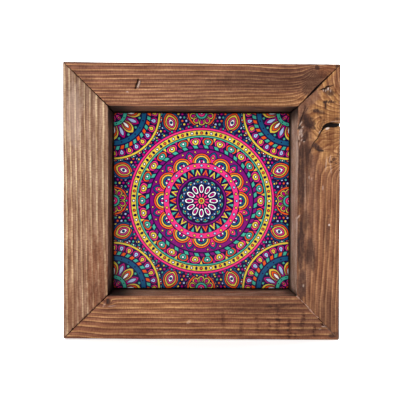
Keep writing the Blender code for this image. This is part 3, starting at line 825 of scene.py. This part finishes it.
def stained_pine(rail):
    """Pine, planed and rubbed with an oil stain. Soft early wood drinks it and turns
    brown, hard late wood stays pale, and the surface keeps a low satin shine."""
    spec = RAILS[rail]
    material, tree, shader = new_material("stained_pine_" + rail, 0.6)
    shader.inputs["Specular IOR Level"].default_value = 0.22
    timber = add_node(tree, "Attribute", {"attribute_name": "timber"}).outputs["Vector"]
    stored = {}
    for name in ("ring", "gold", *TINTS, "rim", "wall", "cracks_and_shade"):
        stored[name] = add_node(tree, "Attribute", {"attribute_name": name}).outputs["Fac"]

    # Noise in cells of these sizes in mm, along and across the grain, and its detail.
    seen = {}
    for name, along, across, detail in (
        ("fibre", 9, 0.4, 3.0), ("streak", 26, 1.6, 2.0), ("fleck", 0.9, 3.0, 1.0),
        ("cloud", 24, 5, 2.0), ("mottle", 4.6, 2.2, 3.0), ("wear", 7, 3.4, 2.0),
    ):
        shrunk = (1 / along, 1 / across, 1 / across)
        place = add_node(tree, "VectorMath", {"operation": "MULTIPLY"}, {0: timber, 1: shrunk})
        cells = add_node(
            tree, "TexNoise", {}, {"Vector": place.outputs[0], "Scale": 1.0, "Detail": detail},
        )
        seen[name] = cells.outputs["Fac"]

    # Rings in three tones: a pale line, the dark wood beside it, the wood between.
    part = add_node(tree, "Math", {"operation": "FRACT"}, {0: stored["ring"]})
    ringed = []
    for dark, middle, light in (spec["tones"], GOLD_TONES):
        rings = add_node(
            tree, "ValToRGB", {}, {"Fac": part.outputs[0]},
            stops=((0.0, light), (1.0, light), (0.07, light), (0.17, dark), (0.28, dark), (0.55, middle),
                   (0.80, middle), (0.92, light)),
        )
        ringed.append(rings.outputs["Color"])
    own_rings, gold_rings = ringed

    faded = spec["faded"]
    fade = add_node(
        tree, "MapRange", {},
        {"Value": seen["cloud"], "From Min": 0.35, "From Max": 0.65, "To Min": 0.5 * faded, "To Max": faded},
    )
    layers = [
        (linear(spec["tones"][1]), fade.outputs[0], "MIX"),
        (gold_rings, stored["gold"], "MIX"),
    ]
    for tint, low, high, least, kind in (
        ("mauve", 0.36, 0.58, 0.45, "MIX"), ("rust", 0.30, 0.50, 0.60, "MIX"),
        ("chatter", 0.38, 0.60, 0.25, "MULTIPLY"), ("umber", 0.34, 0.52, 0.68, "MIX"),
        ("soaked", 0.30, 0.60, 0.72, "MULTIPLY"),
    ):
        patchy = add_node(
            tree, "MapRange", {},
            {"Value": seen["mottle"], "From Min": low, "From Max": high, "To Min": least},
        )
        cover = add_node(tree, "Math", {"operation": "MULTIPLY"}, {0: patchy.outputs[0], 1: stored[tint]})
        layers.append((linear(TINTS[tint]), cover.outputs[0], kind))
    # Painted shade on the outer arrises.
    layers.append((linear(TINTS["umber"]), stored["rim"], "MIX"))
    # Each inner wall's own tone: its stain with painted light and shade, pale on the walls the key light
    # reaches, dark on those it misses.
    worn = add_node(
        tree, "MapRange", {}, {"Value": seen["wear"], "From Min": 0.34, "From Max": 0.60, "To Min": 0.5},
    )
    covered = add_node(tree, "Math", {"operation": "MULTIPLY"}, {0: worn.outputs[0], 1: stored["wall"]})
    layers.append((linear(spec["wall"]), covered.outputs[0], "MIX"))
    for name, deep_tone, low, high in (
        ("fibre", "#D2C0B4", 0.32, 0.60), ("streak", "#C8B4A8", 0.34, 0.58),
        ("fleck", "#DACCC4", 0.34, 0.58), ("cloud", "#CDB8AA", 0.32, 0.62),
    ):
        tone = add_node(
            tree, "ValToRGB", {}, {"Fac": seen[name]}, stops=((low, deep_tone), (high, "#FFFFFF")),
        )
        layers.append((tone.outputs["Color"], 0.8, "MULTIPLY"))
    # Near-black for soot, for deep cracks and for the painted shade of the inner walls; cream goes over all.
    for tint, cover in (("soot_and_shade", "soot_and_shade"), ("soot_and_shade", "cracks_and_shade"), ("cream", "cream")):
        layers.append((linear(TINTS[tint]), stored[cover], "MIX"))

    colour = own_rings
    for over, share, kind in layers:
        mixed = add_node(
            tree, "Mix", {"data_type": "RGBA", "blend_type": kind}, {"Factor": share, 6: colour, 7: over},
        )
        colour = mixed.outputs[2]
    tree.links.new(colour, shader.inputs["Base Color"])

    roughness = add_node(tree, "MapRange", {}, {"Value": seen["fibre"], "To Min": 0.5, "To Max": 0.72})
    tree.links.new(roughness.outputs[0], shader.inputs["Roughness"])
    bump = add_node(tree, "Bump", {}, {"Strength": 0.4, "Distance": 0.06 * MM, "Height": seen["fibre"]})
    tree.links.new(bump.outputs["Normal"], shader.inputs["Normal"])
    return material


def bore_nail_hole(piece):
    """Bore the blind hole that hangs over a nail, half way up the top rail's back."""
    turns = 2 * pi * np.arange(HOLE_SIDES) / HOLE_SIDES
    across = (top_face - board_lap) / 2 + HOLE_DIAMETER / 2 * np.sin(turns)
    along = width / 2 + HOLE_DIAMETER / 2 * np.cos(turns)
    mouth = rail_depth + DRILL_OVERRUN
    depths = np.array((mouth, rail_depth - HOLE_DEPTH))
    across, along, deep = np.tile(across, 2), np.tile(along, 2), np.repeat(depths, HOLE_SIDES)
    places = np.stack((outer_low[0] + along, outer_low[1] + deep, outer_high[2] - across), axis=1)
    unrolled = HOLE_UV[1] + pi * HOLE_DIAMETER * np.arange(HOLE_SIDES + 1) / HOLE_SIDES / UV_SPAN
    rim = np.exp(1j * turns) * HOLE_DIAMETER / 2 / UV_SPAN
    caps = [[(HOLE_UV[0] + shift + p.real, HOLE_UV[1] + 0.05 + p.imag) for p in rim[::way]]
            for shift, way in ((0.15, -1), (0.25, 1))]
    uvs = (unrolled, HOLE_UV[0] + (mouth - depths) / UV_SPAN, caps)
    bit = loft("drill_bit", places.reshape(2, HOLE_SIDES, 3), uvs)
    give(bit.data, "timber", np.stack((along, across, deep), axis=1))
    give(bit.data, "ring", grain("top_rail", along, across, deep))
    give(bit.data, "wall", np.full(len(along), HOLE_STAIN))
    bore = piece.modifiers.new("bore", "BOOLEAN")
    bore.operation = "DIFFERENCE"
    bore.solver = "EXACT"
    bore.object = bit
    depsgraph = bpy.context.evaluated_depsgraph_get()
    bored = bpy.data.meshes.new_from_object(
        piece.evaluated_get(depsgraph), preserve_all_data_layers=True, depsgraph=depsgraph,
    )
    piece.modifiers.clear()
    piece.data = bored
    bored.set_sharp_from_angle(angle=radians(50))
    bpy.data.objects.remove(bit)


def make_rails():
    """The four battens, each in place of its plain solid."""
    for rail, spec in RAILS.items():
        piece = make_batten(rail)
        if rail == "top_rail":
            bore_nail_hole(piece)
        piece.data.materials.clear()
        piece.data.materials.append(stained_pine(rail))
        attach(piece, "root")
        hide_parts(rail)


# What lies in the mitres: near-black filler that paints the shade of the gaps, filler
# rubbed level, and glue. Each gives which corner it is in, half breadths at shares of the
# way from the inner to the outer corner, from the first share to the last, and how far
# below the front it lies.
SEAMS = {
    "filler_top_left": ((-1, 1), ((0, 0.7), (1, 0.7)), 0.8),
    "filler_top_right": ((1, 1), ((0, 0.9), (0.3, 1.3), (0.55, 1.7), (0.7, 0.9), (1, 0.7)), 0.9),
    "filler_bottom_left": ((-1, -1), ((0, 0.9), (0.5, 1.2), (1, 1.0)), 0.7),
    "filler_bottom_right": ((1, -1), ((0, 0.7), (1, 0.7)), 0.8),
    "rubbed_filler_bottom_right": ((1, -1), ((0.62, 0.5), (0.8, 0.6), (0.99, 0.5)), 0.16),
    "glue_bottom_right": (
        (1, -1),
        ((0, 0.8), (0.03, 0.45), (0.06, 0.85), (0.09, 0.3), (0.13, 0.6), (0.17, 0.25), (0.21, 0.5),
         (0.24, 0.25), (0.28, 0.7), (0.32, 0.95), (0.36, 0.6), (0.40, 0.3), (0.44, 0.65), (0.48, 0.7),
         (0.52, 0.1)),
        0.06,
    ),
}
SEAM_STEP = 0.5
SEAM_SIDES = 10
SEAM_DEPTH = 1.6
SEAM_START = 0.2
SEAM_END = 0.6


def make_seams():
    """The filler, near-black as painted shade in the gaps, and the glue, as thin rods that fill the mitres
    from just below the front.
    """
    inner_low = np.array((outer_low[0] + left_face, outer_low[2] + bottom_face))
    inner_high = np.array((outer_high[0] - right_face, outer_high[2] - top_face))
    fillings = {"filler": gap_shade_filler(), "rubbed": rubbed_filler(), "glue": dried_glue()}
    for name, ((side_x, side_z), breadths, sink) in SEAMS.items():
        start = np.array((inner_high[0] if side_x > 0 else inner_low[0],
                          inner_high[1] if side_z > 0 else inner_low[1]))
        side = "right_rail" if side_x > 0 else "left_rail"
        corner_place = in_frame(side, np.array([height if side_z > 0 else 0.0]), np.zeros(1), np.zeros(1))
        end = corner_place[0, [0, 2]]
        mitre = np.linalg.norm(end - start)
        way = (end - start) / mitre
        aside = np.array((-way[1], way[0]))
        first, last = breadths[0][0] * mitre, breadths[-1][0] * mitre
        places = np.arange(SEAM_START + first, last - SEAM_END, SEAM_STEP)
        shares = places / mitre
        half = np.interp(shares, *np.array(breadths).T)
        spots = np.stack((places, places * 0, places * 0), axis=1)
        half = half * (1 + 0.25 * noise(spots, (1.3, 1, 1), FILLING_SEED))
        drift = 0.35 * noise(spots, (3.4, 1, 1), DRIFT_SEED)
        rings = []
        for place, breadth, shift in zip(places, half, drift):
            turns = 2 * pi * np.arange(SEAM_SIDES) / SEAM_SIDES
            flat = start + way * place + aside * (shift + breadth * np.cos(turns))[:, None]
            y = outer_low[1] + sink + SEAM_DEPTH * (1 - np.sin(turns)) / 2
            rings.append(np.stack((flat[:, 0], y, flat[:, 1]), axis=1))
        piece = loft(name, np.array(rings))
        piece.data.shade_smooth()
        piece.data.materials.append(fillings[name.split("_")[0]])
        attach(piece, "root")


def specked(name, roughness, size, detail, stops, relief=None):
    """A material whose colour runs between two tones in specks of a size in mm. relief
    is how strong their bumps are and how high, in mm."""
    material, tree, shader = new_material(name, roughness)
    place = add_node(tree, "TexCoord").outputs["Object"]
    specks = add_node(tree, "TexNoise", {}, {"Vector": place, "Scale": 1 / (size * MM), "Detail": detail})
    colour = add_node(tree, "ValToRGB", {}, {"Fac": specks.outputs["Fac"]}, stops=stops)
    tree.links.new(colour.outputs["Color"], shader.inputs["Base Color"])
    if relief:
        strength, high = relief
        bump = add_node(
            tree, "Bump", {}, {"Strength": strength, "Distance": high * MM, "Height": specks.outputs["Fac"]},
        )
        tree.links.new(bump.outputs["Normal"], shader.inputs["Normal"])
    return material


def gap_shade_filler():
    """Painted shade for the mitre gaps, as wood filler below the front: matt and almost
    black."""
    material = specked("gap_shade_filler", 0.9, 0.8, 3.0, ((0.35, "#0C0705"), (0.7, "#1C110D")))
    shader = material.node_tree.nodes["Principled BSDF"]
    shader.inputs["Specular IOR Level"].default_value = 0.05
    return material


def rubbed_filler():
    """The same filler where it was rubbed level with the wood: brown and satin."""
    return specked("rubbed_filler", 0.6, 1.5, 2.0, ((0.35, "#4A2E20"), (0.65, "#6E4A34")))


def dried_glue():
    """Wood glue that was squeezed out and dried before the stain went on: pale brown, a
    little see-through at the edges, with a dull, lumpy skin."""
    material = specked("dried_glue", 0.5, 2, 2.0, ((0.35, "#74503F"), (0.65, "#AC8672")), (0.4, 0.1))
    shader = material.node_tree.nodes["Principled BSDF"]
    shader.inputs["Specular IOR Level"].default_value = 0.25
    shader.inputs["Subsurface Weight"].default_value = 0.15
    shader.inputs["Subsurface Scale"].default_value = 0.5 * MM
    return material


# The print on the tile. Shapes are complex numbers in mm about a motif's middle, run
# anticlockwise, and a motif points along the real axis until it is turned into its place.

INKS = {
    "navy": "#1A0A39",
    "petrol": "#124A70",
    "pink": "#DB2D72",
    "magenta": "#AF0068",
    "purple": "#750A64",
    "teal": "#3B9E87",
    "orange": "#D84E10",
    "yellow": "#D1B439",
    "white": "#E9E6E2",
    "lilac": "#A0B1D8",
}

# Breadth of the navy line round each shape, in mm.
LINE = 0.74

# Where the small dots lie, in mm: from the tile's edge, between two rows, how far every
# other row is shifted, and how far the medallions reach, where no dot goes.
DOT_MARGIN = 1.6
DOT_ROW = 3.0
DOT_SHIFT = 1.7
CENTRE_REACH = 66
CORNER_REACH = 42

# Points of the print that are nearer than this, in mm, are joined.
JOINED = 1e-4

half_tile = float(tile_high[0] - tile_low[0]) / 2
printed = []


def disc(radius, centre=0, sides=None):
    count = sides or max(10, int(radius * 5))
    return centre + radius * np.exp(2j * pi * np.arange(count) / count)


def petal(start, end, breadth, fullness=0.7, belly=0.5, steps=11):
    """A leaf from start to end along its axis. Low fullness gives round shoulders, and
    belly is where it is broadest, as a share of its length."""
    share = np.linspace(0, 1, steps)
    bent = share ** (np.log(0.5) / np.log(belly))
    half = breadth / 2 * np.sin(pi * bent) ** fullness
    spine = start + (end - start) * share
    return np.concatenate((spine - 1j * half, (spine + 1j * half)[-2:0:-1]))


def brick(inner, outer, spread, slant=0.0):
    """A block of a ring, as wide as spread in radians, its outer side shifted by slant."""
    low = inner * np.exp(1j * np.linspace(spread / 2, -spread / 2, 3))
    high = outer * np.exp(1j * (np.linspace(-spread / 2, spread / 2, 3) + slant))
    return np.concatenate((low, high))


def arch(start, radius, steps=12):
    """A half round that stands on the circle of radius start and bulges outward."""
    angles = np.linspace(-pi / 2, pi / 2, steps)
    return start + radius * np.exp(1j * angles)


def lozenge(start, end, breadth):
    middle = (start + end) / 2
    return np.array((start, middle - 0.5j * breadth, end, middle + 0.5j * breadth))


def spike(start, end, breadth):
    """A triangle that points from start to end, its corners anticlockwise."""
    side = 0.5j * breadth * np.sign(end - start)
    return np.array((start - side, end, start + side))


def grown(shape, by):
    """A shape with its outline moved out, square to the line between its neighbours."""
    ahead = np.roll(shape, -1) - np.roll(shape, 1)
    return shape - 1j * by * ahead / np.abs(ahead)


def stamp(ink, shape, centre=0, turn=0.0):
    """Print a shape and the navy line round it, unless all of it would miss the tile."""
    placed = centre + shape * np.exp(1j * turn)
    if np.any(np.maximum(np.abs(placed.real), np.abs(placed.imag)) < half_tile):
        if ink != "navy":
            printed.append(("navy", grown(placed, LINE)))
        printed.append((ink, placed))


def wreath(centre, count, layers, turn=0.0):
    """Stamp layers of one motif round a centre. An ink may be a pair that alternates."""
    for place in range(count):
        angle = turn + 2 * pi * place / count
        for ink, shape in layers:
            chosen = ink if isinstance(ink, str) else ink[place % len(ink)]
            stamp(chosen, shape, centre, angle)


def centre_medallion():
    wreath(0, 54, ((("petrol", "magenta"), arch(62.6, 3.5)), (("yellow", "teal"), disc(0.75, 65.2, 7))))
    stamp("pink", disc(63.2))
    stamp("yellow", disc(61.0))
    wreath(0, 44, ((("white", "orange"), disc(0.8, 59.0, 8)),))
    wreath(0, 44, (("navy", petal(57.4, 60.7, 2.4, 0.6, 0.4)),), pi / 44)
    stamp("teal", disc(56.4))
    stamp("navy", disc(55.4))
    wreath(0, 30, (
        (("pink", "orange"), petal(46.8, 54.8, 9.2, 0.5, 0.62)),
        (("yellow", "teal"), petal(48.4, 53.5, 5.6, 0.5, 0.62)),
        ("white", disc(0.8, 51.6, 8)),
    ))
    wreath(0, 30, ((("yellow", "magenta"), spike(55.2, 52.0, 2.3)),), pi / 30)
    stamp("navy", disc(48.9))
    wreath(0, 64, ((("purple", "teal"), brick(45.9, 48.3, 0.070, 0.03)),))
    stamp("purple", disc(44.6))
    wreath(0, 24, (("yellow", disc(0.7, 42.7, 7)),), pi / 24)
    wreath(0, 12, (
        ("petrol", petal(31.0, 43.4, 6.8, 0.75, 0.6)), ("pink", petal(33.6, 41.6, 3.9, 0.75, 0.6)),
        ("yellow", disc(0.8, 38.4, 8)),
    ), pi / 12)
    wreath(0, 12, (
        ("orange", arch(33.0, 8.0, 18)), ("yellow", arch(33.0, 6.2, 16)), ("petrol", arch(33.0, 4.5, 12)),
        ("white", arch(33.0, 2.6, 10)), ("magenta", disc(0.9, 34.4, 8)),
    ))
    stamp("pink", disc(32.6))
    wreath(0, 32, ((("lilac", "yellow"), lozenge(29.7, 31.7, 2.4)),))
    stamp("navy", disc(28.4))
    wreath(0, 22, ((("yellow", "orange"), spike(22.2, 27.6, 4.8)), ("magenta", spike(22.4, 24.6, 1.5))))
    wreath(0, 22, (("teal", spike(27.9, 23.8, 2.6)),), pi / 22)
    stamp("purple", disc(21.4))
    stamp("navy", disc(20.3))
    wreath(0, 16, (("teal", arch(15.8, 2.9)), ("yellow", arch(15.8, 1.5, 8))), pi / 16)
    wreath(0, 16, (("petrol", arch(14.6, 2.7)), ("lilac", disc(0.7, 16.2, 8))))
    stamp("navy", disc(14.9))
    wreath(0, 12, (
        ("white", petal(5.6, 14.4, 3.9, 0.5, 0.62)), ("magenta", petal(8.4, 12.6, 1.3, 0.5, 0.62)),
    ))
    stamp("navy", disc(7.2))
    wreath(0, 12, (("pink", petal(2.8, 6.7, 1.4, 0.6, 0.62)),), pi / 12)
    stamp("yellow", disc(2.6))
    stamp("orange", disc(1.0))


def corner_medallion(centre):
    wreath(centre, 44, ((("teal", "orange"), arch(39.6, 2.8)), ("white", disc(0.5, 41.5, 7))))
    stamp("yellow", disc(40.3), centre)
    stamp("navy", disc(38.8), centre)
    wreath(centre, 32, (
        (("pink", "magenta"), petal(30.6, 38.3, 5.8, 0.5, 0.68)),
        (("yellow", "lilac"), petal(32.8, 36.9, 2.9, 0.5, 0.66)),
        ("navy", disc(0.5, 35.2, 7)),
    ))
    stamp("navy", disc(32.9), centre)
    wreath(centre, 48, ((("orange", "teal"), brick(29.2, 32.1, 0.088, -0.04)),))
    stamp("petrol", disc(27.9), centre)
    wreath(centre, 24, (("navy", disc(0.75, 26.1, 8)),))
    stamp("navy", disc(24.4), centre)
    wreath(centre, 16, (("teal", disc(1.0, 22.7, 8)),), pi / 16)
    wreath(centre, 8, (
        ("magenta", petal(9.0, 23.4, 5.6, 0.8, 0.6)), ("lilac", petal(12.6, 21.2, 2.6, 0.8, 0.6)),
    ), pi / 8)
    wreath(centre, 8, (
        ("yellow", petal(8.0, 23.5, 7.6, 0.65, 0.6)), ("orange", petal(9.6, 20.8, 4.6, 0.65, 0.6)),
        ("white", petal(11.2, 18.0, 1.9, 0.65, 0.6)),
    ))
    stamp("teal", disc(11.0), centre)
    wreath(centre, 14, (("navy", disc(0.6, 9.7, 7)),))
    stamp("navy", disc(8.4), centre)
    wreath(centre, 8, (("pink", petal(2.6, 7.7, 2.9, 0.5, 0.62)), ("yellow", disc(0.5, 5.8, 7))))
    stamp("orange", disc(2.2), centre)


def edge_rosette(centre):
    wreath(centre, 18, ((("magenta", "petrol"), arch(11.6, 2.2)), ("yellow", disc(0.4, 13.3, 6))))
    stamp("orange", disc(12.2), centre)
    stamp("navy", disc(10.9), centre)
    wreath(centre, 10, (
        ("yellow", petal(4.4, 10.6, 5.0, 0.5, 0.68)), ("magenta", petal(5.9, 9.3, 2.1, 0.5, 0.66)),
    ), pi / 2)
    stamp("teal", disc(4.9), centre)
    stamp("pink", disc(2.9), centre)
    stamp("white", disc(0.9, 0, 8), centre)


def spandrel_leaf(turn):
    for ink, shape in (
        ("petrol", petal(62.0, 84.4, 15.6, 0.7, 0.5)), ("orange", petal(64.6, 82.0, 12.6, 0.7, 0.5)),
        ("yellow", petal(66.4, 80.0, 9.4, 0.7, 0.5)), ("pink", petal(68.2, 77.6, 6.4, 0.7, 0.5)),
        ("white", petal(69.8, 75.8, 3.4, 0.7, 0.5)), ("petrol", disc(0.7, 72.8, 8)),
    ):
        stamp(ink, shape, 0, turn)


def scatter_dots():
    """Rows of small dots for the gaps that the motifs leave."""
    inks = ("teal", "yellow", "magenta", "orange", "lilac")
    corners = half_tile * np.array((1 + 1j, 1 - 1j, -1 + 1j, -1 - 1j))
    edge = -half_tile + DOT_MARGIN
    for row, up in enumerate(np.arange(edge, half_tile, DOT_ROW)):
        for place, across in enumerate(np.arange(edge + DOT_SHIFT * (row % 2), half_tile, 2 * DOT_SHIFT)):
            spot = across + 1j * up
            if abs(spot) > CENTRE_REACH and np.abs(spot - corners).min() > CORNER_REACH:
                stamp(inks[(place + 2 * row) % len(inks)], disc(0.9, 0, 8), spot)


def draw_print():
    """A medallion with quarter medallions in the corners, a common layout for tiles."""
    scatter_dots()
    for side, way in product(range(4), (-1, 1)):
        spandrel_leaf(side * pi / 2 + way * radians(21.4))
    for across, up in product((-half_tile, half_tile), repeat=2):
        corner_medallion(across + 1j * up)
    for side in range(4):
        edge_rosette(half_tile * np.exp(1j * side * pi / 2))
    centre_medallion()


def rounded_square(inset, steps=8):
    """The outline of the tile, moved in by an inset."""
    radius = max(TILE_CORNER - inset, 0.3)
    straight = half_tile - inset - radius
    turns = np.exp(1j * np.linspace(0, pi / 2, steps))
    quarter = (1 + 1j) * straight + radius * turns
    return np.concatenate([quarter * 1j ** side for side in range(4)])


def make_tile():
    """One flat arrangement of every printed shape: the topmost ink owns each scrap."""
    draw_print()
    shapes = [("navy", rounded_square(0))] + printed
    points, faces, lines = [], [], []
    for _, shape in shapes:
        faces.append(list(range(len(points), len(points) + len(shape))))
        points += [Vector((p.real, p.imag)) for p in shape]
    # Lines round the rim let the glaze bend over the arris.
    for inset in (0.12, 0.35, TILE_ARRIS):
        outline = rounded_square(inset)
        first = len(points)
        points += [Vector((p.real, p.imag)) for p in outline]
        lines += [(first + i, first + (i + 1) % len(outline)) for i in range(len(outline))]
    flat, _, scraps, _, _, owners = delaunay_2d_cdt(points, lines, faces, 0, JOINED, True)

    inks = list(INKS)
    tile_centre = (tile_low + tile_high) / 2
    builder = bmesh.new()
    layer = []
    for point in flat:
        reach = np.abs(np.array((point.x, point.y))) - half_tile + TILE_CORNER
        outside = np.hypot(*np.maximum(reach, 0)) + min(max(reach), 0) - TILE_CORNER
        inward = max(0.0, min(TILE_ARRIS, -float(outside)))
        drop = TILE_ARRIS - (TILE_ARRIS ** 2 - (TILE_ARRIS - inward) ** 2) ** 0.5
        place = (tile_centre[0] + point.x, tile_low[1] + drop, tile_centre[2] + point.y)
        layer.append(builder.verts.new([value * MM for value in place]))
    for scrap, owner in zip(scraps, owners):
        if 0 in owner:
            face = builder.faces.new([layer[i] for i in scrap])
            face.material_index = inks.index(shapes[max(owner)][0])
    rim = [edge for edge in builder.edges if len(edge.link_faces) == 1]
    sides = bmesh.ops.extrude_edge_only(builder, edges=rim)["geom"]
    clay = len(inks)
    for element in sides:
        if isinstance(element, bmesh.types.BMVert):
            element.co.y = tile_high[1] * MM
        elif isinstance(element, bmesh.types.BMFace):
            element.material_index = clay
    far_rim = [e for e in sides if isinstance(e, bmesh.types.BMEdge) and len(e.link_faces) == 1]
    for face in bmesh.ops.edgeloop_fill(builder, edges=far_rim)["faces"]:
        face.material_index = clay
    loose = [v for v in builder.verts if not v.link_faces]
    bmesh.ops.delete(builder, geom=loose, context="VERTS")
    bmesh.ops.recalc_face_normals(builder, faces=builder.faces)
    mesh = bpy.data.meshes.new("printed_tile")
    builder.to_mesh(mesh)
    builder.free()
    tile = bpy.data.objects.new("printed_tile", mesh)
    bpy.context.scene.collection.objects.link(tile)
    for name in inks:
        mesh.materials.append(glazed_ink(name))
    mesh.materials.append(fired_clay())
    mesh.shade_smooth()
    mesh.set_sharp_from_angle(angle=radians(35))
    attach(tile, "root")
    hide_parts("tile")


def glazed_ink(name):
    """Printed colour fired under a clear glaze: even and strong, with the faint orange
    peel of a poured glaze in the reflections."""
    material, tree, shader = new_material("glazed_" + name, 0.11)
    shader.inputs["Base Color"].default_value = linear(INKS[name])
    shader.inputs["Specular IOR Level"].default_value = 0.07
    place = add_node(tree, "TexCoord").outputs["Object"]
    # Orange peel about 3 mm across.
    peel = add_node(tree, "TexNoise", {}, {"Vector": place, "Scale": 1 / (3 * MM), "Detail": 1.0})
    bump = add_node(
        tree, "Bump", {}, {"Strength": 0.12, "Distance": 0.02 * MM, "Height": peel.outputs["Fac"]},
    )
    tree.links.new(bump.outputs["Normal"], shader.inputs["Normal"])
    return material


def fired_clay():
    """Bare white earthenware at the tile's edges and back: chalky, with fine grit."""
    return specked("fired_clay", 0.85, 0.6, 3.0, ((0.3, "#CFC3B0"), (0.7, "#E6DDCD")), (0.4, 0.05))


def pressed_hardboard():
    """Hardboard, pressed wet on a wire screen: dark brown, matt, with matted fibres and
    the screen's weave in its back."""
    material = specked("pressed_hardboard", 0.8, 1.4, 5.0, ((0.3, "#2C1E18"), (0.7, "#45332A")))
    tree = material.node_tree
    place = add_node(tree, "TexCoord").outputs["Object"]
    # The screen's wires are 1.6 mm apart.
    wires = add_node(
        tree, "TexVoronoi", {"feature": "F1"},
        {"Vector": place, "Scale": 1 / (1.6 * MM), "Randomness": 0.15},
    )
    bump = add_node(
        tree, "Bump", {}, {"Strength": 0.5, "Distance": 0.12 * MM, "Height": wires.outputs["Distance"]},
    )
    tree.links.new(bump.outputs["Normal"], tree.nodes["Principled BSDF"].inputs["Normal"])
    return material


def finish_board():
    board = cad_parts["backing_board"]
    board.material_slots[0].material = pressed_hardboard()


# The camera, from the photo's corners: where it stood, how it was turned, tilted and
# rolled, its lens, and the shift that the photo's framing needs.
CAMERA_PLACE = (-0.01805, -0.4300, 0.1177)
CAMERA_TURN = 0.24
CAMERA_TILT = -0.59
CAMERA_ROLL = 0.17
CAMERA_LENS = 45.3
CAMERA_SHIFT = (0.046, 0.005)


def place_camera():
    lens = bpy.data.cameras.new("camera")
    lens.lens = CAMERA_LENS
    lens.sensor_width = 36
    lens.clip_start = 0.01
    lens.shift_x, lens.shift_y = CAMERA_SHIFT
    camera = bpy.data.objects.new("camera", lens)
    bpy.context.scene.collection.objects.link(camera)
    camera.matrix_world = (
        Matrix.Translation(CAMERA_PLACE)
        @ Matrix.Rotation(radians(-CAMERA_TURN), 4, "Z")
        @ Matrix.Rotation(radians(90 + CAMERA_TILT), 4, "X")
        @ Matrix.Rotation(radians(CAMERA_ROLL), 4, "Z")
    )
    bpy.context.scene.camera = camera


def soft_light(name, place, aim, size, watts):
    """A square or oblong white lamp at a place, turned to its aim."""
    lamp = bpy.data.lights.new(name, "AREA")
    lamp.shape = "RECTANGLE"
    lamp.size, lamp.size_y = size
    lamp.energy = watts
    light = bpy.data.objects.new(name, lamp)
    bpy.context.scene.collection.objects.link(light)
    light.location = place
    light.rotation_euler = (Vector(aim) - Vector(place)).to_track_quat("-Z", "Y").to_euler()


def set_stage():
    """A pale sweep, floor in front and curving up to a wall behind, its lamps and sky."""
    material, _, shader = new_material("studio_sweep", 0.9)
    shader.inputs["Base Color"].default_value = linear("#F4F4F3")
    shader.inputs["Emission Color"].default_value = linear("#FFFFFF")
    shader.inputs["Emission Strength"].default_value = 0.5
    profile = [(-2.5, 0.0), (0.9, 0.0)]
    profile += [(0.9 + 0.6 * np.sin(a), 0.6 - 0.6 * np.cos(a)) for a in np.linspace(0.1, pi / 2, 14)]
    profile += [(1.5, 2.4)]
    vertices = [(x, y, z) for x in (-3.0, 3.0) for y, z in profile]
    count = len(profile)
    faces = [(i, i + 1, count + i + 1, count + i) for i in range(count - 1)]
    mesh = bpy.data.meshes.new("sweep")
    mesh.from_pydata(vertices, [], faces)
    mesh.shade_smooth()
    mesh.materials.append(material)
    sweep = bpy.data.objects.new("sweep", mesh)
    bpy.context.scene.collection.objects.link(sweep)
    world = bpy.data.worlds.new("studio")
    bpy.context.scene.world = world
    world.use_nodes = True
    sky = world.node_tree.nodes["Background"]
    sky.inputs["Color"].default_value = linear("#F6F8FF")
    sky.inputs["Strength"].default_value = 0.26
    middle = (0, 0, 0.11)
    soft_light("key", (-0.62, -1.25, 0.95), middle, (0.8, 0.8), 17)
    soft_light("fill", (0.5, -1.5, 0.35), middle, (1.2, 1.2), 2.5)
    soft_light("sweep_wash", (0, 0.35, 1.5), (0, 1.3, 0.3), (2.2, 0.6), 60)


bpy.context.scene.view_settings.view_transform = "Standard"
place_camera()
make_rails()
make_seams()
make_tile()
finish_board()
set_stage()
